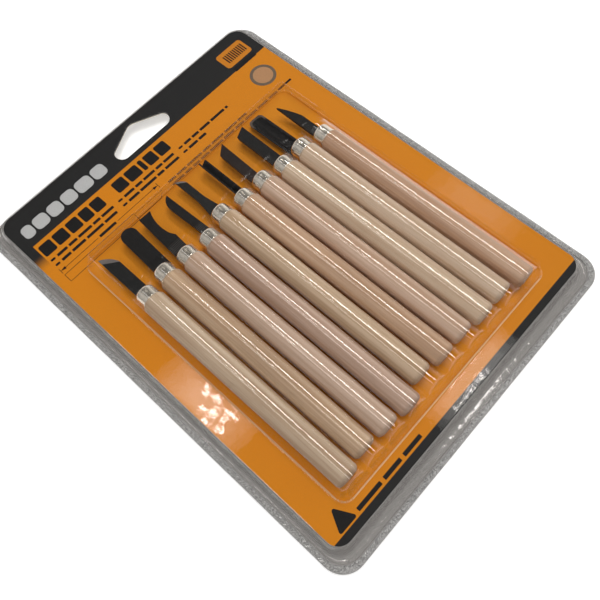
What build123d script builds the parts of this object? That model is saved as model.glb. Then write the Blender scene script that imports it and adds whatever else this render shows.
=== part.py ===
from build123d import *
import os
from math import atan2, cos, degrees, radians, tan

# Set of ten wood-handled carving knives, side by side on a printed card in a
# clear thermoformed pack.  Millimetres.
# Frame: X across the pack, Y from the handle ends to the hang hole, Z out of
# the printed face.  z = 0 is the back of the flange that the pack lies on.

# ---- driving dimensions: pack ------------------------------------------------
PACK_WIDTH = 162.6
PACK_LENGTH = 211.0
FLANGE_RADIUS = 10.0
SKIN = 0.5                 # clear sheet, both shells
WELD_GAP = 0.05            # between the two flanges
SIDE_MARGIN = 6.3          # face edge to flange edge, left and right
FOOT_MARGIN = 8.0          # the same at the handle end
HEAD_MARGIN = 4.1          # the same at the fold
FACE_Z = 6.7               # front of the flat face
WALL_RUN = 2.2             # how far the frame wall leans
FACE_RADIUS = 6.5
BEAD_HEIGHT = 0.6          # bead inside the crimped band of the flange
BEAD_WIDTH = 0.9
BEAD_SINK = 0.1            # how far the bead is sunk into the flange
CRIMP_WIDTH = 2.5          # crimped band, from the flange's edge to the bead

# ---- driving dimensions: card --------------------------------------------------
CARD_THICKNESS = 0.6
CARD_GAP = 0.2             # card to the face in front of it
CARD_INSET = 0.5           # card edge to face edge
CARD_RADIUS = 6.0
SHELL_GAP = 0.3            # between the walls of the two shells

# ---- driving dimensions: hang hole ---------------------------------------------
HOLE_HALF_WIDTH = 15.9
HOLE_SILL_Y = 84.45
HOLE_SHOULDER_Y = 90.6
HOLE_PEAK_Y = 98.1
HOLE_SILL_RADIUS = 4.0
HOLE_SHOULDER_RADIUS = 3.0
HOLE_PEAK_RADIUS = 5.0

# ---- driving dimensions: blister over the tools ----------------------------------
TUB_HALF_WIDTH = 61.8      # at the face
TUB_FOOT_Y = -88.5
TUB_HEAD_Y = 57.45
TUB_RADIUS = 5.0
TUB_DRAFT = 19.0           # degrees
STEP_Y = 28.25             # ribs end here and the flat blade cover starts
COVER_Z = 17.0             # top of the blade cover
VALLEY_Z = 15.1            # between two ribs

# ---- driving dimensions: tools ---------------------------------------------------
PITCH = 11.6
ROW_X = -1.2               # centre of the row of tools
HANDLE_RADIUS = 5.4
HANDLE_LENGTH = 103.5
HANDLE_BUTT_ROUND = 1.8
HANDLE_NECK_ROUND = 0.9
SPIGOT_RADIUS = 4.33
SPIGOT_LENGTH = 4.5
RIB_GAP = 0.3              # handle to the rib over it
CARD_CLEARANCE = 0.15      # handle to the card under it
FERRULE_RADIUS = 4.7
FERRULE_LENGTH = 6.2
FERRULE_WALL = 0.35
FERRULE_ROUND = 1.6
BLADE_THICKNESS = 1.2
BLADE_ROOT = 1.0           # how far a blade's full width goes into its ferrule
EDGE_LAND = 0.15           # thickness left at a ground edge
TANG_WIDTH = 3.0
TANG_LENGTH = 27.0         # from the ferrule's mouth

# Butt position of each handle along Y, as the tools have settled in the pack.
BUTT_Y = [-83.2, -81.1, -82.3, -83.7, -79.1, -80.9, -80.8, -82.3, -82.1, -84.8]
# How far each blade leans in its ferrule, degrees, and stands off the axis; both positive towards +X.
LEAN = [0.0, 2.6, 3.7, -2.3, 0.0, 0.3, 1.9, 0.3, -1.0, 0.0]
SHIFT = [-0.15, 1.0, -0.25, 1.5, -0.6, 0.3, -1.2, -0.1, -0.55, -0.8]

# ---- values worked out from those --------------------------------------------------
FACE_HALF_WIDTH = PACK_WIDTH / 2 - SIDE_MARGIN
FACE_FOOT_Y = -PACK_LENGTH / 2 + FOOT_MARGIN
FACE_HEAD_Y = PACK_LENGTH / 2 - HEAD_MARGIN
FRONT_FLANGE_Z = SKIN + WELD_GAP
WALL_DRAFT = degrees(atan2(WALL_RUN, FACE_Z - FRONT_FLANGE_Z))
CARD_TOP_Z = FACE_Z - SKIN - CARD_GAP
CARD_BACK_Z = CARD_TOP_Z - CARD_THICKNESS
TOOL_Z = CARD_TOP_Z + CARD_CLEARANCE + HANDLE_RADIUS
RIB_RADIUS = HANDLE_RADIUS + RIB_GAP + SKIN
RIB_TOP_Z = TOOL_Z + RIB_RADIUS
TOOL_COUNT = len(BUTT_Y)
TOOL_X = [ROW_X + (i - (TOOL_COUNT - 1) / 2) * PITCH for i in range(TOOL_COUNT)]
MOUTH = HANDLE_LENGTH + FERRULE_LENGTH   # butt to the ferrule's mouth
BIG = 400.0
OVERLAP = 0.5              # how far a cutting tool runs past what it cuts


def block(half_width, foot_y, head_y, radius, low_z, high_z, draft=0.0):
    """A round-cornered block that narrows upwards by draft degrees."""
    outline = RectangleRounded(2 * half_width, head_y - foot_y, radius)
    placed = Pos(0, (foot_y + head_y) / 2, low_z) * outline
    return extrude(placed, amount=high_z - low_z, dir=(0, 0, 1), taper=draft)


def slab(low_y, high_y, low_z, high_z):
    """Everything between two Y values and two Z values."""
    centre = Pos(0, (low_y + high_y) / 2, (low_z + high_z) / 2)
    return centre * Box(BIG, high_y - low_y, high_z - low_z)


def along_y(radius, low_y, high_y):
    """A cylinder on the Y axis."""
    rod = Cylinder(radius, high_y - low_y)
    return Pos(0, (low_y + high_y) / 2, 0) * Rot(90, 0, 0) * rod


def hang_hole():
    """Delta-shaped hang hole, cut through the whole stack."""
    corners = [
        (-HOLE_HALF_WIDTH, HOLE_SILL_Y),
        (HOLE_HALF_WIDTH, HOLE_SILL_Y),
        (HOLE_HALF_WIDTH, HOLE_SHOULDER_Y),
        (0, HOLE_PEAK_Y),
        (-HOLE_HALF_WIDTH, HOLE_SHOULDER_Y),
    ]
    face = Polygon(*corners, align=None)
    sill = [v for v in face.vertices() if abs(v.Y - HOLE_SILL_Y) < 0.01]
    face = fillet(sill, HOLE_SILL_RADIUS)
    peak = [v for v in face.vertices() if abs(v.Y - HOLE_PEAK_Y) < 0.01]
    face = fillet(peak, HOLE_PEAK_RADIUS)
    shoulders = [v for v in face.vertices() if abs(v.Y - HOLE_SHOULDER_Y) < 0.01]
    face = fillet(shoulders, HOLE_SHOULDER_RADIUS)
    return extrude(Pos(0, 0, -1) * face, amount=FACE_Z + 2, dir=(0, 0, 1))


# ---- clear shells --------------------------------------------------------------------
def flange(low_z):
    half = PACK_WIDTH / 2
    end = PACK_LENGTH / 2
    return block(half, -end, end, FLANGE_RADIUS, low_z, low_z + SKIN)


def frame_block(inset, low_z, high_z):
    """The raised frame under the flat face, its walls moved in by inset."""
    grow = (FACE_Z - low_z) * tan(radians(WALL_DRAFT)) - inset / cos(radians(WALL_DRAFT))
    return block(
        FACE_HALF_WIDTH + grow,
        FACE_FOOT_Y - grow,
        FACE_HEAD_Y + grow,
        FACE_RADIUS + grow,
        low_z,
        high_z,
        WALL_DRAFT,
    )


def tub_block(inset, high_z):
    """The blister's own footprint from the face up, moved in by inset."""
    slope = tan(radians(TUB_DRAFT))
    grow = inset * slope - inset / cos(radians(TUB_DRAFT))
    return block(
        TUB_HALF_WIDTH + grow,
        TUB_FOOT_Y - grow,
        TUB_HEAD_Y + grow,
        TUB_RADIUS + grow,
        FACE_Z - inset,
        high_z,
        TUB_DRAFT,
    )


def rib_rods(inset, low_y, high_y):
    rods = [Pos(x, 0, TOOL_Z) * along_y(RIB_RADIUS - inset, low_y, high_y) for x in TOOL_X]
    return rods


def tub(inset):
    """The blister: a rib over each handle and a flat cover over the blades."""
    solid = tub_block(inset, VALLEY_Z - inset)
    cover_zone = slab(STEP_Y + inset, TUB_HEAD_Y + 1, 0, BIG)
    solid += tub_block(inset, COVER_Z - inset) & cover_zone
    reach = tub_block(inset, RIB_TOP_Z + 1)
    for rod in rib_rods(inset, TUB_FOOT_Y - 1, STEP_Y - inset):
        solid += rod & reach
    if inset:
        passage = slab(STEP_Y - 2 * inset, STEP_Y + 2 * inset, 0, COVER_Z - inset)
        for rod in rib_rods(inset, STEP_Y - 2 * inset, STEP_Y + 2 * inset):
            solid += rod & passage
    return solid


def flange_bead(low_z):
    """Low bead that runs round the flange inside the crimped band."""
    half = PACK_WIDTH / 2 - CRIMP_WIDTH
    end = PACK_LENGTH / 2 - CRIMP_WIDTH
    radius = FLANGE_RADIUS - CRIMP_WIDTH
    outer = block(half, -end, end, radius, low_z, low_z + BEAD_HEIGHT)
    inner = block(
        half - BEAD_WIDTH,
        -end + BEAD_WIDTH,
        end - BEAD_WIDTH,
        radius - BEAD_WIDTH,
        low_z - OVERLAP,
        low_z + BEAD_HEIGHT + OVERLAP,
    )
    return outer - inner


def make_front_shell():
    solid = flange(FRONT_FLANGE_Z)
    solid += flange_bead(FRONT_FLANGE_Z + SKIN - BEAD_SINK)
    solid += frame_block(0, FRONT_FLANGE_Z, FACE_Z)
    solid += tub(0)
    solid -= frame_block(SKIN, FRONT_FLANGE_Z - OVERLAP, FACE_Z - SKIN)
    solid -= tub(SKIN)
    return solid - hang_hole()


def make_back_shell():
    nest = SKIN + SHELL_GAP
    solid = flange(0)
    solid += frame_block(nest, 0, CARD_BACK_Z)
    solid -= frame_block(nest + SKIN, -OVERLAP, CARD_BACK_Z - SKIN)
    return solid - hang_hole()


def make_insert_card():
    board = block(
        FACE_HALF_WIDTH - CARD_INSET,
        FACE_FOOT_Y + CARD_INSET,
        FACE_HEAD_Y - CARD_INSET,
        CARD_RADIUS,
        CARD_BACK_Z,
        CARD_TOP_Z,
    )
    return board - hang_hole()


# ---- blades, drawn with the ferrule's mouth at y = 0 and the tip towards +Y ---------------
def strip(outline):
    """A flat blade from an outline in X and Y, with its tang."""
    body = extrude(Pos(0, 0, -BLADE_THICKNESS / 2) * outline, amount=BLADE_THICKNESS, dir=(0, 0, 1))
    return body + tang()


def tang():
    length = TANG_LENGTH - BLADE_ROOT / 2
    return Pos(0, -BLADE_ROOT / 2 - length / 2, 0) * Box(TANG_WIDTH, length, BLADE_THICKNESS)


def ground(solid, start, end, width, up=True):
    """Grinds a bevel along the edge from start to end; the steel lies to the left of it."""
    edge = Vector(end[0] - start[0], end[1] - start[1], 0)
    inward = Vector(-edge.Y, edge.X, 0).normalized()
    plane = Plane(origin=(start[0], start[1], 0), x_dir=inward, z_dir=edge)
    rise = plane.y_dir.Z if up else -plane.y_dir.Z
    half = BLADE_THICKNESS / 2
    slope = (BLADE_THICKNESS - EDGE_LAND) / width
    past = 1.0                 # how far the wedge reaches past the steel on every side
    run_on = 3.0               # how far it runs on past both ends of the edge
    wedge = Polygon(
        (-past, rise * (-half + EDGE_LAND - past * slope)),
        (-past, rise * (half + past)),
        (width + past / slope, rise * (half + past)),
        align=None,
    )
    cutter = extrude(Pos(0, 0, -run_on) * wedge, amount=edge.length + 2 * run_on, dir=(0, 0, 1))
    return solid - plane.location * cutter


def arc_ended(half, left_v, crown, right_v):
    """A flat strip whose end runs in an arc from its left corner over crown to its right one."""
    outline = Line((-half, -BLADE_ROOT), (half, -BLADE_ROOT))
    outline += Line((half, -BLADE_ROOT), (half, right_v))
    outline += ThreePointArc((half, right_v), crown, (-half, left_v))
    outline += Line((-half, left_v), (-half, -BLADE_ROOT))
    return strip(make_face(outline))


def skew(half, left_v, right_v):
    """A flat strip with a straight slanting end, ground from below."""
    outline = Polygon(
        (-half, -BLADE_ROOT),
        (half, -BLADE_ROOT),
        (half, right_v),
        (-half, left_v),
        align=None,
    )
    return ground(strip(outline), (half, right_v), (-half, left_v), 1.0, False)


def wide_skew():
    solid = arc_ended(2.9, 25.1, (0.4, 22.6), 17.6)
    return ground(solid, (4.3, 19.7), (-1.3, 24.1), 2.75)


def narrow_skew():
    solid = arc_ended(1.9, 20.8, (-0.7, 24.2), 26.2)
    return ground(solid, (1.2, 26.8), (-2.8, 21.4), 1.8, False)


def right_skew():
    return skew(2.4, 20.2, 24.3)


def angled_chisel():
    return skew(2.8, 22.8, 25.3)


def round_chisel():
    return arc_ended(3.8, 21.6, (0, 24.9), 21.6)


def hooked_knife():
    half, shoulder = 3.35, 8.3
    heel = (2.0, 10.6)
    waist = (1.08, 15.3)
    point = (2.7, 24.9)
    back = (-half, 24.7)
    outline = Line((-half, -BLADE_ROOT), (half, -BLADE_ROOT))
    outline += Line((half, -BLADE_ROOT), (half, shoulder))
    outline += Line((half, shoulder), heel)
    outline += ThreePointArc(heel, waist, point)
    outline += Line(point, back)
    outline += Line(back, (-half, -BLADE_ROOT))
    return strip(make_face(outline))


def waisted_chisel():
    root, middle, neck = 3.3, 2.4, 1.75
    middle_v, neck_v, left_v, right_v = 4.3, 9.5, 24.0, 20.0
    outline = Line((-root, -BLADE_ROOT), (root, -BLADE_ROOT))
    outline += ThreePointArc((root, -BLADE_ROOT), (middle, middle_v), (neck, neck_v))
    outline += Line((neck, neck_v), (neck, right_v))
    outline += ThreePointArc((neck, right_v), (0.9, 22.5), (-neck, left_v))
    outline += Line((-neck, left_v), (-neck, neck_v))
    outline += ThreePointArc((-neck, neck_v), (-middle, middle_v), (-root, -BLADE_ROOT))
    return ground(strip(make_face(outline)), (2.8, 21.1), (-0.3, 23.6), 1.7)


def detail_knife():
    half, heel = 2.4, 11.3
    belly = (0.55, 17.2)
    point = (-2.0, 23.0)
    outline = Line((-half, -BLADE_ROOT), (half, -BLADE_ROOT))
    outline += Line((half, -BLADE_ROOT), (half, heel))
    outline += ThreePointArc((half, heel), belly, point)
    outline += Line(point, (-half, -BLADE_ROOT))
    return strip(make_face(outline))


def v_gouge():
    """Two flat wings that meet in a keel, with a raked end; the tool lies rolled to one side."""
    half, height, wall, length = 2.2, 2.9, 0.8, 23.7
    rake_angle, rake_depth = 8, 5.0
    roll = 17
    section = Polygon(
        (0, -height / 2 - wall / 2),
        (half, height / 2),
        (half - wall, height / 2),
        (0, -height / 2 + wall),
        (-half + wall, height / 2),
        (-half, height / 2),
        align=None,
    )
    channel = extrude(
        Plane((0, -BLADE_ROOT, 0), x_dir=(1, 0, 0), z_dir=(0, 1, 0)) * Rot(0, 0, 180) * section,
        amount=length + BLADE_ROOT,
    )
    rake = Rot(-rake_angle, 0, 0) * Box(4 * half, rake_depth, 4 * height)
    return Rot(0, roll, 0) * (channel - Pos(0, length + 0.45 * rake_depth, 0) * rake + tang())


def u_gouge():
    """A deep channel with a round nose, its section nearly concentric with the handle."""
    half, radius, wall, length, nose = 4.0, 4.6, 0.9, 26.6, 2.9
    centre_z, rim_z, tang_z = 0.3, -2.0, -3.0
    root = -BLADE_ROOT
    tube = along_y(radius, root, length) - along_y(radius - wall, root - OVERLAP, length + OVERLAP)
    outline = Line((-half, root), (half, root))
    outline += Line((half, root), (half, length - nose))
    outline += ThreePointArc((half, length - nose), (0, length), (-half, length - nose))
    outline += Line((-half, length - nose), (-half, root))
    stencil = extrude(Pos(0, 0, -radius) * make_face(outline), amount=radius + rim_z, dir=(0, 0, 1))
    return (Pos(0, 0, centre_z) * tube & stencil) + Pos(0, 0, tang_z) * tang()


BLADES = [
    wide_skew,
    round_chisel,
    hooked_knife,
    narrow_skew,
    waisted_chisel,
    v_gouge,
    right_skew,
    angled_chisel,
    u_gouge,
    detail_knife,
]


# ---- handles and ferrules, drawn with the butt at y = 0 and the axis on Y -------------------
def handle_blank():
    rod = along_y(HANDLE_RADIUS, 0, HANDLE_LENGTH)
    rims = rod.edges().filter_by(GeomType.CIRCLE).sort_by(Axis.Y)
    rod = fillet(rims[:1], HANDLE_BUTT_ROUND)
    rims = rod.edges().filter_by(GeomType.CIRCLE).sort_by(Axis.Y)
    rod = fillet(rims[-1:], HANDLE_NECK_ROUND)
    return rod + along_y(SPIGOT_RADIUS, HANDLE_LENGTH - 1, HANDLE_LENGTH + SPIGOT_LENGTH)


def ferrule_blank():
    inner_radius = FERRULE_RADIUS - FERRULE_WALL
    cup = along_y(FERRULE_RADIUS, HANDLE_LENGTH, MOUTH)
    rims = cup.edges().filter_by(GeomType.CIRCLE).sort_by(Axis.Y)
    cup = fillet(rims[-1:], FERRULE_ROUND)
    core = along_y(inner_radius, HANDLE_LENGTH - 1, MOUTH - FERRULE_WALL)
    rims = core.edges().filter_by(GeomType.CIRCLE).sort_by(Axis.Y)
    core = fillet(rims[-1:], FERRULE_ROUND - FERRULE_WALL)
    return cup - core


def save(node, solid):
    export_step(solid, os.path.join("parts", node + ".step"))


os.makedirs("parts", exist_ok=True)
save("front_shell", make_front_shell())
save("back_shell", make_back_shell())
save("insert_card", make_insert_card())

handle_form = handle_blank()
ferrule_form = ferrule_blank()
for number in range(TOOL_COUNT):
    place = Pos(TOOL_X[number], BUTT_Y[number], TOOL_Z)
    blade = Pos(SHIFT[number], MOUTH, 0) * Rot(0, 0, -LEAN[number]) * BLADES[number]()
    label = "_%02d" % (number + 1)
    save("handle" + label, place * (handle_form - blade))
    save("ferrule" + label, place * (ferrule_form - blade))
    save("blade" + label, place * blade)
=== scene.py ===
"""Looks for a set of ten wood-handled carving knives, side by side in a clear pack.

Lengths are in millimetres unless a name says otherwise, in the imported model's frame:
X across the row of tools, Y from the handle ends to the hang hole, Z out of the card.
"""
import math
import random

import bmesh
import bpy
import numpy as np
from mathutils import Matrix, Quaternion, Vector, noise


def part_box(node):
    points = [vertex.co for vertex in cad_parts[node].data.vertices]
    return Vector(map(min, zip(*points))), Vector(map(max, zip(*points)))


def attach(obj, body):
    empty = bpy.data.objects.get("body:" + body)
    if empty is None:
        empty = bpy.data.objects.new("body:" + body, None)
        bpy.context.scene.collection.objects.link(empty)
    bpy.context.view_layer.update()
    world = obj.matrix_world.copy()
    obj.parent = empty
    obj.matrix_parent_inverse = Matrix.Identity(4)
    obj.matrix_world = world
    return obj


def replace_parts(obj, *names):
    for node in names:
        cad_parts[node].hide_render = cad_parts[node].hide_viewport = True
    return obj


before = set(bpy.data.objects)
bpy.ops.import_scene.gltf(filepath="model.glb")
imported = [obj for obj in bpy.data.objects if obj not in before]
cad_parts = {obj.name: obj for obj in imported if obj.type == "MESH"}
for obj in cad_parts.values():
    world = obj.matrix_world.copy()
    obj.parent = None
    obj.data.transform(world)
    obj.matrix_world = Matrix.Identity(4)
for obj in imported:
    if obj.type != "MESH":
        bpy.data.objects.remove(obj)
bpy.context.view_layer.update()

MM = 0.001


def box_mm(node):
    """Lowest and highest corner of a CAD node, in millimetres."""
    low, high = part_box(node)
    return low / MM, high / MM


# ---- places, from the frame ----------------------------------------------------------
CARD_LOW, CARD_HIGH = box_mm("insert_card")
PACK_LOW, PACK_HIGH = box_mm("back_shell")
TOOL_COUNT = sum(name.startswith("handle_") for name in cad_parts)
LABELS = ["%02d" % (number + 1) for number in range(TOOL_COUNT)]
TOOL_X = [(box_mm("handle_" + n)[0].x + box_mm("handle_" + n)[1].x) / 2 for n in LABELS]
TOOL_Z = (box_mm("handle_01")[0].z + box_mm("handle_01")[1].z) / 2
PITCH = TOOL_X[1] - TOOL_X[0]
VALLEY_X = [x + PITCH / 2 for x in TOOL_X]
CARD_TOP = CARD_HIGH.z
CARD_BACK = CARD_LOW.z

# ---- sizes of the clear pack -----------------------------------------------------------
SHEET = 0.4                # visible thickness of the clear sheet
CARD_INSET = 0.5           # card edge to the edge of the flat face
FACE_ABOVE_CARD = 0.7
FACE_Z = CARD_TOP + FACE_ABOVE_CARD
FACE_HALF = CARD_HIGH.x + CARD_INSET
FACE_FOOT = CARD_LOW.y - CARD_INSET
FACE_HEAD = CARD_HIGH.y + CARD_INSET
FACE_RADIUS = 6.5
WALL_RUN = 2.2             # how far the frame's wall leans outwards
CRIMP_WIDTH = 2.5
BEAD_WIDTH = 0.9
BEAD_HEIGHT = 0.5
FLANGE_TOP = 1.05
BACK_FLANGE_TOP = 0.5
SIDE_MARGIN = PACK_HIGH.x - FACE_HALF
FOOT_MARGIN = FACE_FOOT - PACK_LOW.y
HEAD_MARGIN = PACK_HIGH.y - FACE_HEAD
FLANGE_RADIUS = 10.0

TUB_HALF = 61.8
TUB_FOOT = -88.5
TUB_HEAD = 57.45
TUB_RADIUS = 5.0
TUB_SLOPE = 1 / math.tan(math.radians(19))     # rise of the blister's wall
STEP_Y = 28.25             # ribs end and the flat cover over the blades starts
STEP_RUN = 2.2             # half the length of the slope between them
COVER_Z = 17.0
VALLEY_Z = 15.1
VALLEY_HALF = 1.2          # half-width of the strip between two ribs
RIB_RADIUS = 6.12

# Material slots of the two formed sheets.
FLAT, WALL, PAINTED_BEND_HIGHLIGHT, DULL, FRONT_FLANGE = range(5)
BACK_FLANGE = 2
PAINTED_HIGHLIGHT_BAND = 0.18, 0.5      # heights over the face where the foot of the blister bends; the faces there carry a painted highlight line
ROOF_RISE = 7.0            # anything this far over the face belongs to the blister's roof
STEP_END = 0.7             # how far the dull shine runs past each end of the step

HOLE_CORNERS = [(-15.9, 84.45), (15.9, 84.45), (15.9, 90.6), (0, 98.1), (-15.9, 90.6)]
HOLE_RADII = [4, 4, 3, 5, 3]

# ---- sizes of the tools ------------------------------------------------------------------
HANDLE_RADIUS = 5.4
HANDLE_LENGTH = 103.5
BUTT_ROUND = 1.9
NECK_ROUND = 0.9
FERRULE_RADIUS = 4.7


# ---- outlines --------------------------------------------------------------------------
def arc(centre, radius, start, end, steps):
    """Points on an arc, angles in degrees."""
    angles = [math.radians(start + (end - start) * i / steps) for i in range(steps + 1)]
    return [(centre[0] + radius * math.cos(a), centre[1] + radius * math.sin(a)) for a in angles]


def rounded_rect(half, foot, head, radius, steps=10):
    """Counter-clockwise outline, starting at the foot's right-hand corner."""
    x, low, high = half - radius, foot + radius, head - radius
    points = arc((x, low), radius, -90, 0, steps) + arc((x, high), radius, 0, 90, steps)
    return points + arc((-x, high), radius, 90, 180, steps) + arc((-x, low), radius, 180, 270, steps)


def rounded_polygon(corners, radii, steps=8):
    """A convex outline with each corner rounded to its own radius."""
    points = []
    count = len(corners)
    for i, radius in enumerate(radii):
        corner = Vector(corners[i])
        before = (Vector(corners[i - 1]) - corner).normalized()
        after = (Vector(corners[(i + 1) % count]) - corner).normalized()
        half_angle = before.angle(after) / 2
        middle = (before + after).normalized()
        centre = corner + middle * (radius / math.sin(half_angle))
        sweep = math.pi / 2 - half_angle
        start = math.atan2(-middle.y, -middle.x) - sweep
        for step in range(steps + 1):
            angle = start + 2 * sweep * step / steps
            points.append((centre.x + radius * math.cos(angle), centre.y + radius * math.sin(angle)))
    return points


def stroke(start, end, width):
    """Outline of a straight line of a given width."""
    a, b = Vector(start), Vector(end)
    side = (b - a).orthogonal().normalized() * width / 2
    return [tuple(p) for p in (a - side, b - side, b + side, a + side)]


def spread(points, spacing):
    """Closed outline walked at an even spacing."""
    ring = np.array(points + points[:1])
    lengths = np.r_[0, np.cumsum(np.hypot(*np.diff(ring, axis=0).T))]
    count = int(lengths[-1] / spacing / 2) * 2
    at = np.linspace(0, lengths[-1], count, endpoint=False)
    return np.c_[np.interp(at, lengths, ring[:, 0]), np.interp(at, lengths, ring[:, 1])]


# ---- mesh building -----------------------------------------------------------------------
def finish_object(name, bm, body, materials):
    """Turns a bmesh drawn in millimetres into a piece that rides on a body."""
    bmesh.ops.scale(bm, vec=(MM, MM, MM), verts=bm.verts)
    mesh = bpy.data.meshes.new(name)
    bm.to_mesh(mesh)
    bm.free()
    for material in materials:
        mesh.materials.append(material)
    obj = bpy.data.objects.new(name, mesh)
    bpy.context.scene.collection.objects.link(obj)
    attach(obj, body)
    return obj


def add_ring(bm, points, height):
    return [bm.verts.new((x, y, height)) for x, y in points]


def join_rings(bm, outer, inner, material=0, smooth=True):
    count = len(outer)
    for i in range(count):
        j = (i + 1) % count
        face = bm.faces.new((outer[i], outer[j], inner[j], inner[i]))
        face.material_index = material
        face.smooth = smooth


def ring_edges(bm, ring):
    edges = []
    for i, vertex in enumerate(ring):
        other = ring[(i + 1) % len(ring)]
        edge = bm.edges.get((vertex, other)) or bm.edges.new((vertex, other))
        edges.append(edge)
    return edges


def fill_between(bm, rings, material=0):
    """Flat face between an outer ring and the rings inside it."""
    edges = [edge for ring in rings for edge in ring_edges(bm, ring)]
    made = bmesh.ops.triangle_fill(bm, use_beauty=True, edges=edges, normal=(0, 0, 1))
    for item in made["geom"]:
        if isinstance(item, bmesh.types.BMFace):
            item.material_index = material
            item.smooth = False
            if item.normal.z < 0:
                item.normal_flip()


def thicken(obj, thickness, inward=True):
    solid = obj.modifiers.new("sheet", "SOLIDIFY")
    solid.thickness = thickness * MM
    solid.offset = -1 if inward else 1
    solid.use_even_offset = True
    return obj


# ---- clear shells --------------------------------------------------------------------------
def station(side, foot, head, height):
    """One ring of the pack's frame: its outset from the flat face at the sides, foot and head."""
    radius = FACE_RADIUS + side * (FLANGE_RADIUS - FACE_RADIUS) / SIDE_MARGIN
    return rounded_rect(FACE_HALF + side, FACE_FOOT - foot, FACE_HEAD + head, radius), height


def flange_stations(top, bead):
    """Rings from the crimped band's inner edge, over the bead, to the foot of the wall."""
    head_crimp, head_bead = 0.6, 0.5
    rings = []
    steps = 8
    for i in range(steps + 1):
        share = i / steps
        rise = bead * math.sin(math.pi * share)
        side = SIDE_MARGIN - CRIMP_WIDTH - BEAD_WIDTH * share
        foot = FOOT_MARGIN - CRIMP_WIDTH - BEAD_WIDTH * share
        head = HEAD_MARGIN - head_crimp - head_bead * share
        rings.append(station(side, foot, head, top + rise))
    return rings


def wall_stations(low, high, low_out, high_out, round_foot, round_top):
    """Rings up a leaning wall, rounded into the flange below and the face above."""
    rings = []
    lean = math.atan2(high - low, low_out - high_out)
    steps = 5
    for i in range(steps + 1):
        turn = lean * i / steps
        reach = round_foot * math.tan(lean / 2)
        out = low_out + reach - round_foot * math.sin(turn)
        rings.append(station(out, out, out, low + round_foot * (1 - math.cos(turn))))
    for i in range(steps + 1):
        turn = lean * (1 - i / steps)
        reach = round_top * math.tan(lean / 2)
        out = high_out - reach + round_top * math.sin(turn)
        rings.append(station(out, out, out, high - round_top * (1 - math.cos(turn))))
    return rings


def soft_max(a, b, width):
    """The larger of two heights, with the corner between them rounded."""
    share = np.clip(0.5 + (a - b) / (2 * width), 0, 1)
    return b + (a - b) * share + width * share * (1 - share)


def soft_min(a, b, width):
    return -soft_max(-a, -b, width)


def smooth_step(low, high, value):
    share = np.clip((value - low) / (high - low), 0, 1)
    return share * share * (3 - 2 * share)


def inside_distance(x, y):
    """Distance from the blister's outline at the face, positive inside it."""
    half_length = (TUB_HEAD - TUB_FOOT) / 2
    across = np.abs(x) - (TUB_HALF - TUB_RADIUS)
    along = np.abs(y - (TUB_HEAD + TUB_FOOT) / 2) - (half_length - TUB_RADIUS)
    corner = np.hypot(np.maximum(across, 0), np.maximum(along, 0))
    return TUB_RADIUS - corner - np.minimum(np.maximum(across, along), 0)


def ripple(x, y):
    """Small unevenness of the formed sheet."""
    slow = noise.noise(Vector((x / 9, y / 16, 3.1)))
    quick = noise.noise(Vector((x / 2.6, y / 5.5, 8.7)))
    return 0.03 * slow + 0.005 * quick


def blister_height(x, y):
    """Height of the blister's outer surface over the card's plane."""
    wall = FACE_Z + TUB_SLOPE * inside_distance(x, y)
    rib = np.full_like(x, VALLEY_Z)
    for centre in TOOL_X:
        inside = np.maximum(RIB_RADIUS**2 - (x - centre) ** 2, 0.01)
        rib = soft_max(rib, TOOL_Z + np.sqrt(inside), 0.8)
    rib = np.where(np.abs(x - (TOOL_X[0] + TOOL_X[-1]) / 2) > 4.5 * PITCH + RIB_RADIUS, VALLEY_Z, rib)
    share = smooth_step(STEP_Y - STEP_RUN, STEP_Y + STEP_RUN, y)
    roof = rib * (1 - share) + COVER_Z * share
    waves = np.vectorize(ripple)(x, y) * smooth_step(0.5, 4.0, inside_distance(x, y))
    return soft_max(soft_min(wall, roof + waves, 1.3), np.full_like(x, FACE_Z), 0.6)


def graded(low, high, edge, fine, coarse):
    """Grid lines that lie closer together near both ends."""
    start = np.arange(low, low + edge, fine)
    middle = np.linspace(low + edge, high - edge, round((high - low - 2 * edge) / coarse) + 1)
    return np.r_[start, middle, (low + high) - start[::-1]]


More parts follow.
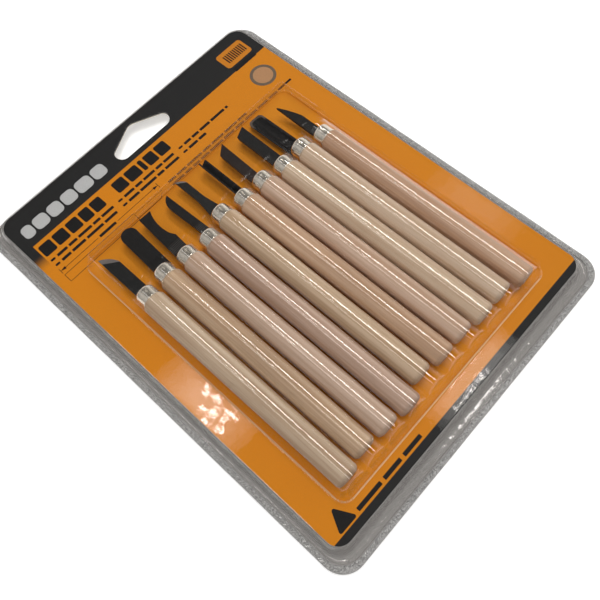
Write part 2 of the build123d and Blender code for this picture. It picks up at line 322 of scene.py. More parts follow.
def blister_grid(bm):
    """The blister as a height field. Returns the ring of vertices on its border."""
    margin, edge, fine = 0.8, 6.0, 0.24
    half_cell = 0.2, 0.15
    xs = graded(-TUB_HALF - margin, TUB_HALF + margin, edge, fine, 0.42)
    low, high = TUB_FOOT - margin, TUB_HEAD + margin
    step_lines = np.arange(STEP_Y - STEP_RUN - 0.5, STEP_Y + STEP_RUN + 0.6, 0.3)
    ys = graded(low, high, edge, fine, 1.3)
    ys = np.r_[ys[ys < step_lines[0] - 0.3], step_lines, ys[ys > step_lines[-1] + 0.3]]
    grid_x, grid_y = np.meshgrid(xs, ys)
    heights = blister_height(grid_x, grid_y)
    verts = [
        [bm.verts.new((x, y, z)) for x, y, z in zip(row_x, row_y, row_z)]
        for row_x, row_y, row_z in zip(grid_x, grid_y, heights)
    ]
    for low_row, high_row in zip(verts, verts[1:]):
        for i in range(len(xs) - 1):
            face = bm.faces.new((low_row[i], low_row[i + 1], high_row[i + 1], high_row[i]))
            face.smooth = True
            rise = sum(vertex.co.z for vertex in face.verts) / 4 - FACE_Z
            x, y = low_row[i].co.x + half_cell[0], low_row[i].co.y + half_cell[1]
            in_step = abs(y - STEP_Y) < STEP_RUN + STEP_END
            beside_rib = min(abs(x - line) for line in VALLEY_X) < VALLEY_HALF or x > VALLEY_X[-1]
            in_valley = y < STEP_Y and beside_rib
            # painted highlight: faces in this band get a bright warm haze that stands in for the thin line of
            # light along the blister's foot
            if PAINTED_HIGHLIGHT_BAND[0] < rise < PAINTED_HIGHLIGHT_BAND[1]:
                face.material_index = PAINTED_BEND_HIGHLIGHT
            elif rise > ROOF_RISE and (in_step or in_valley):
                face.material_index = DULL
    border = verts[0][:-1] + [row[-1] for row in verts[:-1]]
    return border + verts[-1][:0:-1] + [row[0] for row in verts[:0:-1]]


def frame_slot(index, flange_rings, all_rings, flange):
    """Material slot of one band of the frame, counted inwards from the crimp."""
    if index < flange_rings:
        return flange
    return WALL if index < all_rings - 3 else FLAT


def build_front_film(materials):
    """The front sheet: flange, frame, flat face with its hole, and the blister."""
    bm = bmesh.new()
    rings = flange_stations(FLANGE_TOP, BEAD_HEIGHT)
    wall = wall_stations(FLANGE_TOP, FACE_Z, WALL_RUN, 0.0, 0.5, 0.6)
    support = station(-0.9, -0.9, -0.9, FACE_Z)
    made = [add_ring(bm, points, height) for points, height in rings + wall + [support]]
    for i, (outer, inner) in enumerate(zip(made, made[1:])):
        join_rings(bm, outer, inner, frame_slot(i, len(rings), len(made), FRONT_FLANGE))
    hole = add_ring(bm, rounded_polygon(HOLE_CORNERS, HOLE_RADII), FACE_Z)
    fill_between(bm, [made[-1], hole, blister_grid(bm)])
    obj = finish_object("front_film", bm, "pack_front", materials)
    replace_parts(obj, "front_shell")
    return thicken(obj, SHEET)


def build_back_film(materials):
    """The back sheet: flange and a raised plate behind the card."""
    bm = bmesh.new()
    nest = 0.85                # back wall to the front wall, across the pack
    run = WALL_RUN / (FACE_Z - FLANGE_TOP + BACK_FLANGE_TOP)
    low_out = (FACE_Z - BACK_FLANGE_TOP) * run - nest
    high_out = (FACE_Z - CARD_BACK) * run - nest
    rings = flange_stations(BACK_FLANGE_TOP, 0.0)
    wall = wall_stations(BACK_FLANGE_TOP, CARD_BACK - 0.03, low_out, high_out, 0.5, 0.6)
    support = station(high_out - 0.9, high_out - 0.9, high_out - 0.9, CARD_BACK - 0.03)
    made = [add_ring(bm, points, height) for points, height in rings + wall + [support]]
    for i, (outer, inner) in enumerate(zip(made, made[1:])):
        join_rings(bm, outer, inner, frame_slot(i, len(rings), len(made), BACK_FLANGE))
    hole = add_ring(bm, rounded_polygon(HOLE_CORNERS, HOLE_RADII), CARD_BACK - 0.03)
    fill_between(bm, [made[-1], hole])
    obj = finish_object("back_film", bm, "pack_back", materials)
    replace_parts(obj, "back_shell")
    return thicken(obj, SHEET)


def build_crimp(name, body, low, high, knurl_up, material, seed):
    """The welded band round the flange, pressed with a crosshatch on its open side."""
    dice = random.Random(seed)
    cell, relief, rows = 0.6, 0.2, 4
    outer = spread(station(SIDE_MARGIN, FOOT_MARGIN, HEAD_MARGIN, 0)[0], cell)
    inner_line = station(SIDE_MARGIN - CRIMP_WIDTH, FOOT_MARGIN - CRIMP_WIDTH, HEAD_MARGIN - 0.6, 0)[0]
    dense = spread(inner_line, 0.1)
    nearest = [dense[np.argmin(np.hypot(*(dense - point).T))] for point in outer]
    bm = bmesh.new()
    grid = []
    for i, (edge, root) in enumerate(zip(outer, nearest)):
        trim = 0.16 + 0.16 * noise.noise(Vector((edge[0] / 22, edge[1] / 22, seed)))
        edge = edge + (root - edge) * trim / max(np.hypot(*(root - edge)), 0.1)
        column = []
        for row in range(rows + 1):
            x, y = edge + (root - edge) * row / rows
            peak = (i + row) % 2 * relief * dice.uniform(0.55, 1.0)
            inset = relief * (row in (0, rows))
            face_z = high - inset - peak if knurl_up else low + inset + peak
            column.append(bm.verts.new((x, y, face_z)))
        flat_z = low if knurl_up else high
        column.append(bm.verts.new((root[0], root[1], flat_z)))
        column.append(bm.verts.new((edge[0], edge[1], flat_z)))
        grid.append(column)
    columns = len(grid[0])
    for i, column in enumerate(grid):
        following = grid[(i + 1) % len(grid)]
        for k in range(columns):
            j = (k + 1) % columns
            bm.faces.new((column[k], following[k], following[j], column[j]))
    bmesh.ops.recalc_face_normals(bm, faces=bm.faces)
    return finish_object(name, bm, body, [material])


# ---- tools ---------------------------------------------------------------------------------
def lathe(bm, profile, centre_x, centre_z, sides=72, sway=None):
    """Turns a closed profile of (radius, y) about the tool's axis."""
    rings = []
    for radius, y in profile:
        shift = sway(y) if sway else (0, 0)
        if radius == 0:
            rings.append([bm.verts.new((centre_x + shift[0], y, centre_z + shift[1]))])
            continue
        ring = []
        for i in range(sides):
            angle = 2 * math.pi * i / sides
            x = centre_x + shift[0] + radius * math.cos(angle)
            ring.append(bm.verts.new((x, y, centre_z + shift[1] + radius * math.sin(angle))))
        rings.append(ring)
    for first, second in zip(rings, rings[1:]):
        for i in range(sides):
            j = (i + 1) % sides
            if len(first) == 1:
                bm.faces.new((first[0], second[i], second[j]))
            elif len(second) == 1:
                bm.faces.new((first[j], first[i], second[0]))
            else:
                bm.faces.new((first[i], second[i], second[j], first[j]))
    bmesh.ops.recalc_face_normals(bm, faces=bm.faces)
    for face in bm.faces:
        face.smooth = True


def build_handle(label, centre_x, material, seed):
    """A turned handle: rounded butt, very slightly uneven shaft, square neck."""
    dice = random.Random(seed)
    low, high = box_mm("handle_" + label)
    butt, shoulder = low.y, low.y + HANDLE_LENGTH
    radius = HANDLE_RADIUS - dice.uniform(0.06, 0.16)
    phase = dice.uniform(0, 6)
    profile = [(0, butt + 0.12), (radius - BUTT_ROUND - 1.2, butt + 0.06)]
    for i in range(9):
        turn = math.radians(90 * i / 8)
        y = butt + BUTT_ROUND * (1 - math.cos(turn))
        profile.append((radius - BUTT_ROUND * (1 - math.sin(turn)), y))
    for i in range(1, 32):
        share = i / 32
        uneven = 0.035 * math.sin(share * 9 + phase) + 0.02 * math.sin(share * 31 + 2 * phase)
        y = butt + BUTT_ROUND + (HANDLE_LENGTH - BUTT_ROUND - NECK_ROUND) * share
        profile.append((radius + uneven - 0.035, y))
    for i in range(7):
        turn = math.radians(90 * i / 6)
        y = shoulder - NECK_ROUND * (1 - math.sin(turn))
        profile.append((radius - 0.035 - NECK_ROUND * (1 - math.cos(turn)), y))
    profile += [(FERRULE_RADIUS - 0.5, shoulder - 0.02), (FERRULE_RADIUS - 0.5, high.y - 0.1)]
    profile += [(0, high.y - 0.1)]
    bow = dice.uniform(-0.05, 0.05)

    def sway(y):
        return bow * math.sin(math.pi * (y - butt) / HANDLE_LENGTH), 0

    bm = bmesh.new()
    lathe(bm, profile, centre_x, TOOL_Z, sway=sway)
    obj = finish_object("turned_handle_" + label, bm, "tool_" + label, [material])
    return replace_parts(obj, "handle_" + label)


def build_ferrule(label, centre_x, material, seed):
    """A drawn cup with a rolled lip, a rounded shoulder and a dished end with a small round hole."""
    low, high = box_mm("ferrule_" + label)
    lip, end = low.y, high.y
    shoulder_round = 1.5
    body = FERRULE_RADIUS - 0.12
    profile = [(body - 0.45, lip + 0.05), (FERRULE_RADIUS - 0.1, lip + 0.02)]
    profile += [(FERRULE_RADIUS, lip + 0.3), (FERRULE_RADIUS - 0.04, lip + 0.6)]
    profile += [(body, lip + 0.9), (body, end - shoulder_round - 0.9)]
    for i in range(9):
        turn = math.radians(90 * i / 8)
        y = end - shoulder_round * (1 - math.sin(turn))
        profile.append((body - 0.04 - shoulder_round * (1 - math.cos(turn)), y))
    profile += [(body - 2.3, end - 0.12), (0.6, end - 0.2), (0.6, end - 0.5), (body - 2.3, end - 0.45)]
    profile += [(body - 0.7, end - 0.9), (body - 0.45, end - 2), (body - 0.45, lip + 0.05)]
    bm = bmesh.new()
    lathe(bm, profile, centre_x, TOOL_Z)
    bmesh.ops.remove_doubles(bm, verts=bm.verts, dist=0.0001)
    offset = 7.0 * seed
    for vertex in bm.verts:
        dent = noise.noise(Vector((vertex.co.x / 4 + offset, vertex.co.y / 3, vertex.co.z / 4)))
        vertex.co.x += 0.03 * dent
        vertex.co.z += 0.03 * dent
    obj = finish_object("cup_ferrule_" + label, bm, "tool_" + label, [material])
    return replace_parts(obj, "ferrule_" + label)


# ---- print -----------------------------------------------------------------------------------
def build_plates(name, outlines, material, rise=0.03):
    """Printed marks, each a thin plate on the card."""
    bm = bmesh.new()
    for outline in outlines:
        top = add_ring(bm, outline, CARD_TOP + rise)
        bottom = add_ring(bm, outline, CARD_TOP + 0.002)
        bm.faces.new(top)
        bm.faces.new(bottom[::-1])
        join_rings(bm, bottom, top, smooth=False)
    bmesh.ops.recalc_face_normals(bm, faces=bm.faces)
    return finish_object(name, bm, "pack_back", [material])


def bar(left, right, low, high, radius=0.25):
    half = (right - left) / 2
    radius = min(radius, half * 0.98, (high - low) * 0.49)
    return [(x + left + half, y) for x, y in rounded_rect(half, low, high, radius, 4)]


def row_of_bars(left, right, low, high, lengths, gap, dice):
    """A line of plain bars of uneven length, as wide as a line of print."""
    bars = []
    x = left
    while x < right - 0.6:
        end = min(x + dice.uniform(*lengths), right)
        bars.append(bar(x, end, low, high))
        x = end + gap
    return bars


def small_print(dice):
    """Rows of small bars under the heading, each with an oval bullet."""
    marks = []
    left_column, middle_column = (-69.3, -33.8), (-30.8, 3)
    rows = ((70.15, (left_column, middle_column, (6, 37.5))), (66.9, (left_column, middle_column, (6, 21))))
    for row_y, columns in rows:
        for left, right in columns:
            marks.append(bar(left, left + 2.4, row_y - 0.55, row_y + 0.55, 0.55))
            marks += row_of_bars(left + 3.6, right, row_y - 0.7, row_y + 0.7, (3.5, 9.5), 1.0, dice)
    marks += row_of_bars(-9.3, 40.2, 59.9, 61.1, (3.5, 10), 1.0, dice)
    marks += row_of_bars(-9.0, 68.3, 57.7, 58.8, (3.5, 10), 1.0, dice)
    return marks


def dimension_line():
    """A thin drawing of one tool with an arrowed line over it."""
    left, right, line_y, tick = -69.5, -13.5, 63.2, 1.5
    thin = 0.22
    gap_left, gap_right = -48.6, -37.3
    marks = [stroke((left, line_y), (gap_left, line_y), thin)]
    marks.append(stroke((gap_right, line_y), (right, line_y), thin))
    for x, toward in ((left, 1), (right, -1)):
        marks.append(stroke((x, line_y - tick), (x, line_y + tick), thin))
        tail = x + toward * 2.6
        marks.append([(x, line_y), (tail, line_y - 0.75), (tail, line_y + 0.75)][::toward])
    marks.append(bar(gap_left + 1, gap_right - 1, line_y - 0.7, line_y + 0.7))
    handle = [(-69.5, 56.3), (-30.5, 56.3), (-30.5, 60.6), (-69.5, 60.6)]
    blade = [(-30.5, 57.0), (-16.8, 57.0), (-14.0, 59.9), (-30.5, 59.9)]
    for outline in (handle, blade):
        marks += [stroke(a, b, thin) for a, b in zip(outline, outline[1:] + outline[:1])]
    return marks


def heading():
    """Two groups of plain blocks where the heading is."""
    marks = []
    gap = 1.1
    for left, widths in ((-69.3, (6.3, 6.4, 6.2, 5.4, 5.8)), (-27.5, (6.4, 7.0, 2.2, 5.6, 6.2))):
        for width in widths:
            marks.append(bar(left, left + width, 73.0, 79.6, 0.9))
            left += width + gap
    return marks


def header_blocks():
    """A row of pale rounded blocks in the black header."""
    left, gap, marks = -69.5, 0.9, []
    for width in (5.4, 7.2, 7.0, 7.2, 8.4, 7.2):
        marks.append(bar(left, left + width, 85.6, 92.6, 2.2))
        left += width + gap
    return marks


def caution_marks():
    """A plain rounded triangle and a row of plain bars beside it."""
    triangle = rounded_polygon([(-69.9, -93.2), (-60.3, -93.2), (-65.1, -84.3)], [0.8] * 3, 5)
    words = ((-59.0, -46.2), (-44.4, -35.0), (-33.2, -23.4))
    return [triangle] + [bar(left, right, -92.9, -91.2) for left, right in words]


def badge():
    """Ten short strokes, one for each tool, over a plain bar."""
    strokes = [bar(56.4 + 1.24 * i, 57.1 + 1.24 * i, 87.2, 92.6, 0.2) for i in range(10)]
    return strokes + [bar(54.8, 68.7, 81.2, 83.6, 0.5)]


def disc(radius):
    """Plain round mark at the head of the orange ground."""
    return [arc((61.5, 70), radius, 0, 360, 47)[:-1]]


def build_print(inks):
    dice = random.Random(7)
    build_plates("print_heading", heading(), inks["black"])
    build_plates("print_rows", small_print(dice), inks["black"])
    build_plates("print_tool_drawing", dimension_line(), inks["black"])
    build_plates("print_caution", caution_marks(), inks["black"])
    build_plates("print_header_blocks", header_blocks(), inks["pale"])
    build_plates("print_badge_ground", [bar(53.7, 69.8, 84.8, 95, 1.6)], inks["orange"], 0.02)
    build_plates("print_badge", badge(), inks["black"], 0.05)
    build_plates("print_roundel", disc(6.4), inks["grey"])
    build_plates("print_roundel_centre", disc(4.9), inks["tan"], 0.05)


# ---- materials ---------------------------------------------------------------------------------
class Nodes:
    """Short names for building one material's node tree."""

    def __init__(self, name):
        self.material = bpy.data.materials.new(name)
        self.material.use_nodes = True
        self.tree = self.material.node_tree
        self.tree.nodes.clear()
        self.output = self.tree.nodes.new("ShaderNodeOutputMaterial")
        self.place = self.tree.nodes.new("ShaderNodeTexCoord").outputs["Object"]

    def put(self, socket, value):
        if isinstance(value, bpy.types.NodeSocket):
            self.tree.links.new(value, socket)
        elif value is not None:
            socket.default_value = value

    def add(self, kind, inputs=None, **settings):
        node = self.tree.nodes.new(kind)
        for key, value in settings.items():
            setattr(node, key, value)
        for key, value in (inputs or {}).items():
            self.put(node.inputs[key], value)
        return node

    def math(self, operation, a, b=None, clamp=False):
        node = self.add("ShaderNodeMath", operation=operation, use_clamp=clamp)
        self.put(node.inputs[0], a)
        self.put(node.inputs[1], b)
        return node.outputs[0]

    def ramp(self, value, low, high, out_low=0.0, out_high=1.0, smooth=True):
        node = self.add("ShaderNodeMapRange", clamp=True)
        node.interpolation_type = "SMOOTHSTEP" if smooth else "LINEAR"
        for socket, number in zip(node.inputs[:5], (value, low, high, out_low, out_high)):
            self.put(socket, number)
        return node.outputs["Result"]

    def mix(self, share, a, b, blend="MIX"):
        node = self.add("ShaderNodeMix", data_type="RGBA", blend_type=blend)
        self.put(node.inputs[0], share)
        self.put(node.inputs[6], a)
        self.put(node.inputs[7], b)
        return node.outputs[2]

    def stretched(self, scale, shift=(0, 0, 0)):
        """Object coordinates multiplied by scale, in cycles per metre."""
        inputs = {"Vector": self.place, "Scale": scale, "Location": shift}
        return self.add("ShaderNodeMapping", inputs).outputs["Vector"]

    def noise(self, scale, detail=3.0, roughness=0.55, shift=(0, 0, 0)):
        if not isinstance(scale, tuple):
            scale = (scale,) * 3
        inputs = {"Vector": self.stretched(scale, shift), "Scale": 1.0}
        inputs |= {"Detail": detail, "Roughness": roughness}
        return self.add("ShaderNodeTexNoise", inputs).outputs[0]

    def bump(self, height, strength, distance):
        inputs = {"Height": height, "Strength": strength, "Distance": distance}
        return self.add("ShaderNodeBump", inputs).outputs["Normal"]

    def axes(self):
        return self.add("ShaderNodeSeparateXYZ", {"Vector": self.place}).outputs

    def principled(self, **inputs):
        named = {key.replace("_", " "): value for key, value in inputs.items()}
        node = self.add("ShaderNodeBsdfPrincipled", named)
        self.tree.links.new(node.outputs[0], self.output.inputs["Surface"])
        return self.material


def rgb(red, green, blue):
    """A colour as it is seen on screen, 0 to 255, turned into linear light."""
    def linear(value):
        value = value / 255
        return value / 12.92 if value <= 0.04045 else ((value + 0.055) / 1.055) ** 2.4
    return linear(red), linear(green), linear(blue), 1.0


HEAD_ON_MIRROR = 0.04      # what one surface of the clear sheet reflects, seen square on


def clear_film(name, see_through_colour, haze_and_painted_light, haze_and_painted_light_colour, gloss, wave, mottle=0.0, shine_share=1.0):
    """Clear sheet: mostly see-through, with a diffuse part and a wavy gloss. The diffuse part is frosting on
    the weld, a painted highlight where the blister bends, and painted shade on the frame and flange.
    """
    n = Nodes(name)
    slow = n.noise(200, 2)
    quick = n.noise(900, 2)
    height = n.math("ADD", slow, n.math("MULTIPLY", quick, 0.12))
    normal = n.bump(height, wave, 0.0006)
    clear = n.add("ShaderNodeBsdfTransparent", {"Color": see_through_colour})
    body = clear.outputs[0]
    if haze_and_painted_light:
        if mottle:
            haze_and_painted_light = n.ramp(n.noise(2300, 1), 0.4, 0.6, haze_and_painted_light * (1 - mottle), haze_and_painted_light * (1 + mottle))
        dull = n.add("ShaderNodeBsdfDiffuse", {"Color": haze_and_painted_light_colour})
        body = n.add("ShaderNodeMixShader", {0: haze_and_painted_light, 1: body, 2: dull.outputs[0]}).outputs[0]
    white = (1, 1, 1, 1)
    shine = n.add("ShaderNodeBsdfAnisotropic", {"Color": white, "Roughness": gloss, "Normal": normal})
    facing = n.add("ShaderNodeLayerWeight", {"Normal": normal}).outputs["Facing"]
    edge = n.math("MULTIPLY", n.math("POWER", facing, 5.0), 0.9)
    mirror = n.math("MULTIPLY", n.math("ADD", edge, HEAD_ON_MIRROR), shine_share)
    mixed = n.add("ShaderNodeMixShader", {0: mirror, 1: body, 2: shine.outputs[0]})
    n.tree.links.new(mixed.outputs[0], n.output.inputs["Surface"])
    return n.material


def card_front():
    """Orange ground, black header and foot stripe, and a black strip that fades down the left edge."""
    n = Nodes("card_print")
    x, y, z = n.axes()
    mm = 1 / MM
    x_mm, y_mm = n.math("MULTIPLY", x, mm), n.math("MULTIPLY", y, mm)
    warm = n.ramp(x_mm, -75, 75)
    orange = n.mix(warm, rgb(227, 142, 27), rgb(221, 139, 30))
    cloud = n.ramp(n.noise(22, 2), 0.35, 0.7)
    orange = n.mix(n.math("MULTIPLY", cloud, 0.25), orange, rgb(222, 143, 36))
    grain = n.noise(2600, 3)
    orange = n.mix(n.math("MULTIPLY", grain, 0.06), orange, rgb(120, 60, 10))
    header = n.math("GREATER_THAN", y_mm, 81.6)
    strip = n.math("MULTIPLY", n.math("LESS_THAN", x_mm, -70.2), n.ramp(y_mm, 68.0, 76.5))
    stripe = n.math("LESS_THAN", y_mm, -93.85)
    ink = n.math("MAXIMUM", n.math("MAXIMUM", header, strip), stripe)
    colour = n.mix(ink, orange, rgb(41, 41, 42))
    top = n.math("GREATER_THAN", z, (CARD_TOP - 0.05) * MM)
    board = n.mix(n.noise(900, 4), rgb(196, 190, 178), rgb(222, 217, 206))
    colour = n.mix(top, board, colour)
    normal = n.bump(n.noise(1500, 3), 0.12, 0.0002)
    return n.principled(Base_Color=colour, Roughness=0.42, Normal=normal, Specular_IOR_Level=0.12)


def ink(name, colour):
    """Printed ink with a faint mottle."""
    n = Nodes(name)
    mottled = n.mix(n.noise(1800, 3), darker(colour, 0.8), colour)
    normal = n.bump(n.noise(2400, 3), 0.1, 0.0001)
    return n.principled(Base_Color=mottled, Roughness=0.4, Normal=normal, Specular_IOR_Level=0.15)


def darker(colour, share):
    return tuple(c * share for c in colour[:3]) + (1,)


def wood(name, label, pale, dark, streak, seed):
    """Sanded pale wood: long grain, fine pores and a dirtier, darker butt."""
    n = Nodes(name)
    low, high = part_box("handle_" + label)
    shift = (seed * 3.7, seed * 1.3, seed * 5.1)
    long_grain = n.noise((420, 9, 420), 4, 0.6, shift)
    fine_grain = n.noise((2600, 38, 2600), 4, 0.65, shift)
    cloud = n.noise((70, 16, 70), 2, 0.5, shift)
    pores = n.ramp(n.noise((5200, 170, 5200), 2, 0.5, shift), 0.6, 0.74)
    colour = n.mix(n.ramp(long_grain, 0.3, 0.72), dark, pale)
    colour = n.mix(n.math("MULTIPLY", n.ramp(fine_grain, 0.45, 0.8), 0.45), colour, dark)
    streaks = n.math("MULTIPLY", n.ramp(cloud, 0.5, 0.75), streak)
    colour = n.mix(streaks, colour, darker(dark, 0.72))
    colour = n.mix(n.math("MULTIPLY", pores, 0.35), colour, darker(dark, 0.5))
    y = n.axes()[1]
    butt = n.ramp(y, low.y + 0.0022, low.y, 0, 0.5)
    colour = n.mix(butt, colour, darker(dark, 0.45))
    relief = n.math("ADD", fine_grain, n.math("MULTIPLY", pores, -0.6))
    normal = n.bump(relief, 0.25, 0.0003)
    rough = n.ramp(fine_grain, 0.3, 0.8, 0.5, 0.68)
    return n.principled(Base_Color=colour, Roughness=rough, Normal=normal, Specular_IOR_Level=0.3)


def ferrule_steel():
    """Bright nickel plate with fine turning marks and handling smears."""
    n = Nodes("nickel_ferrule")
    rings = n.noise((60, 5200, 60), 2)
    smear = n.noise(420, 4)
    colour = n.mix(n.ramp(smear, 0.35, 0.75), rgb(248, 240, 228), rgb(220, 211, 198))
    rough = n.ramp(smear, 0.3, 0.8, 0.19, 0.3, smooth=False)
    normal = n.bump(rings, 0.08, 0.00006)
    return n.principled(Base_Color=colour, Metallic=0.93, Roughness=rough, Normal=normal)


def blade_steel(name, colour, finish=None):
    """Blackened steel, with the share and the colour of whatever a finish lays over it."""
    n = Nodes(name)
    worn = n.noise((900, 300, 900), 5)
    speck = n.ramp(n.noise(5200, 2), 0.62, 0.8)
    lighter = tuple(c * 2 + 0.006 for c in colour[:3]) + (1,)
    black = n.mix(n.math("MULTIPLY", n.ramp(worn, 0.45, 0.8), 0.5), colour, lighter)
    black = n.mix(n.math("MULTIPLY", speck, 0.15), black, rgb(80, 76, 74))
    ground, bare = finish(n) if finish else (0.0, colour)
    colour_out = n.mix(ground, black, bare)
    rough = n.ramp(worn, 0.3, 0.8, 0.38, 0.55)
    marks = n.math("ADD", n.noise((150, 1500, 150), 2), n.math("MULTIPLY", worn, 0.5))
    normal = n.bump(marks, 0.22, 0.0002)
    return n.principled(Base_Color=colour_out, Roughness=rough, Normal=normal, Specular_IOR_Level=0.2)


def bare_bevel(n):
    """Grey steel on the faces that lean like the ground edge."""
    facing = n.add("ShaderNodeNewGeometry").outputs["True Normal"]
    up = n.add("ShaderNodeSeparateXYZ", {"Vector": facing}).outputs[2]
    share = n.math("MULTIPLY", n.ramp(up, 0.8, 0.84), n.ramp(up, 0.97, 0.95))
    return share, n.mix(n.noise((3000, 500, 3000), 3), rgb(84, 79, 78), rgb(130, 124, 121))


def bare_nose(n):
    """A brownish ground rim round the end of the U gouge."""
    low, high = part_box("blade_09")
    radius, rim, middle_x = 4.21 * MM, 1.1 * MM, (TOOL_X[8] - 0.94) * MM
    x, y, z = n.axes()
    away_x = n.math("SUBTRACT", x, middle_x)
    away_y = n.math("SUBTRACT", y, high.y - radius)
    squares = n.math("ADD", n.math("MULTIPLY", away_x, away_x), n.math("MULTIPLY", away_y, away_y))
    reach = n.math("SQRT", squares)
    share = n.ramp(reach, radius - rim - 0.1 * MM, radius - rim + 0.2 * MM)
    share = n.math("MULTIPLY", share, n.ramp(away_y, -1.5 * MM, 0.5 * MM))
    return n.math("MULTIPLY", share, 0.8), rgb(100, 88, 80)


def grooved_root(label):
    """Lighter stripes painted across the blade next to its ferrule, in place of fine pressed grooves."""
    def finish(n):
        start = box_mm("ferrule_" + label)[1].y * MM
        pitch, first, last = 0.8 * MM, 1.2 * MM, 6.2 * MM
        up_blade = n.math("SUBTRACT", n.axes()[1], start)
        wave = n.math("SINE", n.math("MULTIPLY", up_blade, 2 * math.pi / pitch))
        begun, ended = n.ramp(up_blade, first, first + pitch), n.ramp(up_blade, last, last - pitch)
        grooves = n.math("MULTIPLY", n.ramp(wave, 0.2, 0.9), n.math("MULTIPLY", begun, ended))
        return n.math("MULTIPLY", grooves, 0.5), rgb(92, 88, 86)
    return finish


# Pale and dark tone of each handle, left to right, then how streaky it is.
WOODS = [
    (rgb(208, 186, 161), rgb(173, 143, 115), 0.15),
    (rgb(216, 188, 159), rgb(176, 142, 110), 0.35),
    (rgb(210, 183, 164), rgb(182, 151, 127), 0.2),
    (rgb(203, 174, 156), rgb(170, 137, 115), 0.4),
    (rgb(213, 187, 160), rgb(181, 151, 119), 0.25),
    (rgb(216, 183, 155), rgb(185, 147, 115), 0.3),
    (rgb(219, 190, 169), rgb(189, 155, 129), 0.2),
    (rgb(220, 198, 173), rgb(192, 163, 135), 0.15),
    (rgb(219, 195, 172), rgb(192, 163, 135), 0.15),
    (rgb(207, 173, 146), rgb(175, 134, 104), 0.35),
]


def build_tools():
    steel = ferrule_steel()
    black = rgb(20, 19, 20)
    blades = dict.fromkeys(LABELS, blade_steel("blackened_blade", black))
    blades["01"] = blades["05"] = blade_steel("blade_with_bevel", rgb(26, 27, 28), bare_bevel)
    blades["07"] = blade_steel("browned_blade", rgb(34, 24, 22))
    blades["09"] = blade_steel("blade_with_nose", black, bare_nose)
    for label in ("03", "04"):
        blades[label] = blade_steel("grooved_blade_" + label, black, grooved_root(label))
    for number, label in enumerate(LABELS):
        pale, dark, streak = WOODS[number]
        material = wood("handle_wood_" + label, label, pale, dark, streak, number + 1)
        build_handle(label, TOOL_X[number], material, 11 + number)
        build_ferrule(label, TOOL_X[number], steel, 31 + number)
        paint(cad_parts["blade_" + label], blades[label])


def paint(node, material):
    """Gives a CAD node one material in all its slots."""
    if not node.material_slots:
        node.data.materials.append(material)
    for slot in node.material_slots:
        slot.link = "OBJECT"
        slot.material = material


def build_pack():
    clear_tint = (0.985, 0.985, 0.98, 1)
    no_haze = 0.0, None
    clear = clear_film("clear_sheet", clear_tint, *no_haze, 0.035, 0.035)
    # painted shade: the frame, flange and weld are clear sheet; their grey see-through colour and the grey
    # haze of frame and flange stand in for the light lost through two sheets over the shaded floor under the
    # pack; the weld's pale haze is its frosting
    wall = clear_film("clear_frame_painted_shade", (0.776, 0.77, 0.765, 1), 0.08, rgb(165, 160, 156), 0.09, 0.4)
    crimp = clear_film("crimped_weld", (0.76, 0.76, 0.76, 1), 0.34, rgb(205, 204, 202), 0.12, 0.2, mottle=0.8)
    flange = clear_film("clear_flange_painted_shade", (0.83, 0.825, 0.82, 1), 0.1, rgb(185, 180, 176), 0.09, 0.4)
    # bright warm haze: a painted highlight line along the foot of the blister
    bend_highlight = clear_film("sheet_painted_highlight_at_the_bend", (0.97, 0.965, 0.95, 1), 0.7, rgb(255, 218, 168), 0.06, 0.05)
    dull = clear_film("sheet_at_steps_and_valleys", clear_tint, *no_haze, 0.14, 0.035, shine_share=0.15)
    build_front_film([clear, wall, bend_highlight, dull, flange])
    build_back_film([clear, wall, flange])
    build_crimp("front_crimp", "pack_front", 0.56, FLANGE_TOP + 0.12, True, crimp, 3)
    build_crimp("back_crimp", "pack_back", 0.0, 0.54, False, crimp, 5)
    paint(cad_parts["insert_card"], card_front())
    inks = {
        "black": ink("ink_black", rgb(30, 29, 30)),
        "pale": ink("ink_pale_grey", rgb(205, 206, 208)),
        "orange": ink("ink_orange", rgb(222, 140, 40)),
        "grey": ink("ink_grey", rgb(120, 105, 90)),
        "tan": ink("ink_tan", rgb(196, 150, 110)),
    }
    build_print(inks)


# ---- stage ---------------------------------------------------------------------------------------
def build_floor():
    n = Nodes("pale_floor")
    white = (0.93, 0.93, 0.93, 1)
    emission = {"Emission_Color": white, "Emission_Strength": 0.35}
    n.principled(Base_Color=white, Roughness=0.9, Specular_IOR_Level=0.1, **emission)
    bm = bmesh.new()
    size, drop = 3000, 0.15
    corners = ((-1, -1), (1, -1), (1, 1), (-1, 1))
    bm.faces.new([bm.verts.new((x * size, y * size, -drop)) for x, y in corners])
    bmesh.ops.scale(bm, vec=(MM, MM, MM), verts=bm.verts)
    mesh = bpy.data.meshes.new("floor")
    bm.to_mesh(mesh)
    bm.free()
    mesh.materials.append(n.material)
    floor = bpy.data.objects.new("floor", mesh)
    bpy.context.scene.collection.objects.link(floor)


def add_panel(name, place, size, radiance, colour=(1, 1, 1), aim=(0, 0, 0)):
    """A rectangular lamp, in metres, that faces aim and glows with the given radiance."""
    lamp = bpy.data.lights.new(name, "AREA")
    lamp.shape = "RECTANGLE"
    lamp.size, lamp.size_y = size
    lamp.energy = radiance * math.pi * size[0] * size[1]
    lamp.color = colour
    obj = bpy.data.objects.new(name, lamp)
    bpy.context.scene.collection.objects.link(obj)
    obj.location = place
    obj.rotation_mode = "QUATERNION"
    obj.rotation_quaternion = (Vector(place) - Vector(aim)).to_track_quat("Z", "Y")
    return obj


LAMP_HEIGHT = 0.77
LAYER = 0.0002             # lamps stand this far below each other, so that none hides the next
TUBE_COLOUR = (1, 0.97, 0.93)
SPOT_COLOUR = (1, 0.95, 0.9)


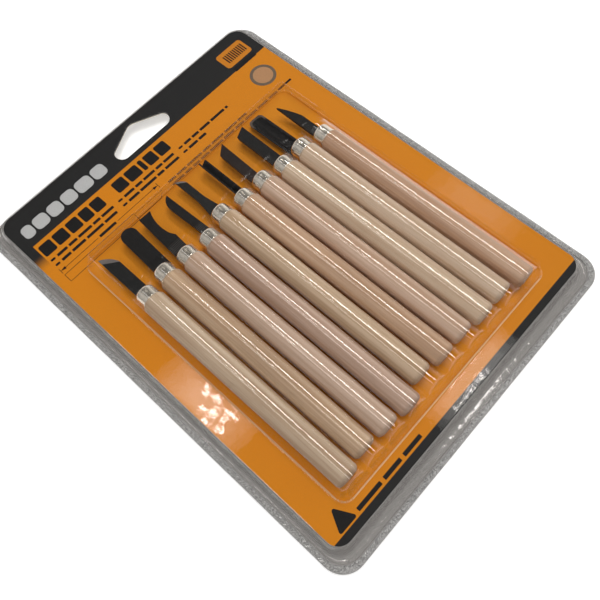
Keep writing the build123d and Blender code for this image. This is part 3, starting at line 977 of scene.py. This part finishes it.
def glow(name, place, size, shrink, count, radiance):
    """Panels inside each other, so that their shared reflection fades towards its edge."""
    panels = []
    for i in range(count):
        smaller = size[0] - shrink[0] * i, size[1] - shrink[1] * i
        panels.append(("%s_%d" % (name, i), place, smaller, radiance))
    return panels


def add_spot(name, x, y, size, radiance):
    add_panel(name, (x, y, LAMP_HEIGHT - 0.01), size, radiance, SPOT_COLOUR, (x, y, 0))


def build_lamps():
    """Two tubes and soft glows that the sheet mirrors, and a fill that it doesn't."""
    lamps = [
        ("tube_left", (-0.150, 0.20), (0.09, 0.46), 3.0),
        ("tube_right", (0.280, 0.184), (0.08, 0.456), 15),
    ]
    lamps += glow("glow_left", (-0.030, 0.222), (0.076, 0.184), (0.012, 0.031), 5, 0.52)
    lamps += glow("glow_right", (0.535, 0.12), (0.07, 0.18), (0.018, 0.045), 3, 0.25)
    lamps += glow("glow_foot", (0.280, -0.070), (0.19, 0.056), (0.03, 0.006), 3, 0.6)
    for i, (name, (x, y), size, radiance) in enumerate(lamps):
        lamp = add_panel(name, (x, y, LAMP_HEIGHT - LAYER * i), size, radiance, TUBE_COLOUR, (x, y, 0))
        lamp.visible_diffuse = name != "tube_left"
    fill = add_panel("fill_overhead", (0.05, 0.05, 1.1), (0.5, 0.5), 5.3, (1, 0.985, 0.97))
    fill.visible_glossy = False
    dice = random.Random(4)
    for i in range(11):
        x, y = dice.uniform(-0.052, -0.008), dice.uniform(0.165, 0.245)
        add_spot("spot_left_%d" % i, x, y, (dice.uniform(0.004, 0.008), dice.uniform(0.007, 0.013)), 18)
    for i in range(8):
        x, y = 0.222 + 0.011 * i, dice.uniform(-0.077, -0.068)
        add_spot("spot_foot_%d" % i, x, y, (dice.uniform(0.003, 0.006), dice.uniform(0.005, 0.011)), 13)


def build_world():
    """Soft pale surroundings, dimmer overhead where the flat face mirrors them."""
    world = bpy.data.worlds.new("studio")
    bpy.context.scene.world = world
    world.use_nodes = True
    tree = world.node_tree
    tree.nodes.clear()
    place = tree.nodes.new("ShaderNodeTexCoord")
    toward = tree.nodes.new("ShaderNodeVectorMath")
    toward.operation = "DOT_PRODUCT"
    toward.inputs[1].default_value = Vector((0.285, 0.33, 0.9)).normalized()
    tree.links.new(place.outputs["Generated"], toward.inputs[0])
    dim = tree.nodes.new("ShaderNodeMapRange")
    dim.interpolation_type = "SMOOTHSTEP"
    for socket, value in zip(dim.inputs[1:5], (0.6, 0.93, 1.0, 0.07)):
        socket.default_value = value
    tree.links.new(toward.outputs["Value"], dim.inputs["Value"])
    side = tree.nodes.new("ShaderNodeVectorMath")
    side.operation = "DOT_PRODUCT"
    side.inputs[1].default_value = (0.8, 0.0, 0.6)
    tree.links.new(place.outputs["Generated"], side.inputs[0])
    key = tree.nodes.new("ShaderNodeMapRange")
    for socket, value in zip(key.inputs[1:5], (-0.5, 1.0, 0.28, 1.04)):
        socket.default_value = value
    tree.links.new(side.outputs["Value"], key.inputs["Value"])
    strength = tree.nodes.new("ShaderNodeMath")
    strength.operation = "MULTIPLY"
    tree.links.new(dim.outputs["Result"], strength.inputs[0])
    tree.links.new(key.outputs["Result"], strength.inputs[1])
    background = tree.nodes.new("ShaderNodeBackground")
    background.inputs["Color"].default_value = (1.0, 0.985, 0.97, 1)
    tree.links.new(strength.outputs[0], background.inputs["Strength"])
    output = tree.nodes.new("ShaderNodeOutputWorld")
    tree.links.new(background.outputs[0], output.inputs["Surface"])


def build_camera():
    data = bpy.data.cameras.new("camera")
    data.sensor_width = 36
    data.lens = 39.68
    data.clip_start, data.clip_end = 0.01, 20
    camera = bpy.data.objects.new("camera", data)
    bpy.context.scene.collection.objects.link(camera)
    place, aim, roll = Vector((-0.08125, -0.1026, 0.2522)), Vector((-0.01109, -0.01985, 0)), -7.89
    camera.location = place
    camera.rotation_mode = "QUATERNION"
    level = (aim - place).to_track_quat("-Z", "Y")
    camera.rotation_quaternion = level @ Quaternion((0, 0, 1), math.radians(roll))
    bpy.context.scene.camera = camera


def build_stage():
    build_floor()
    build_world()
    build_lamps()
    build_camera()
    scene = bpy.context.scene
    scene.view_settings.view_transform = "Standard"
    scene.cycles.transparent_max_bounces = 32


build_stage()
build_pack()
build_tools()
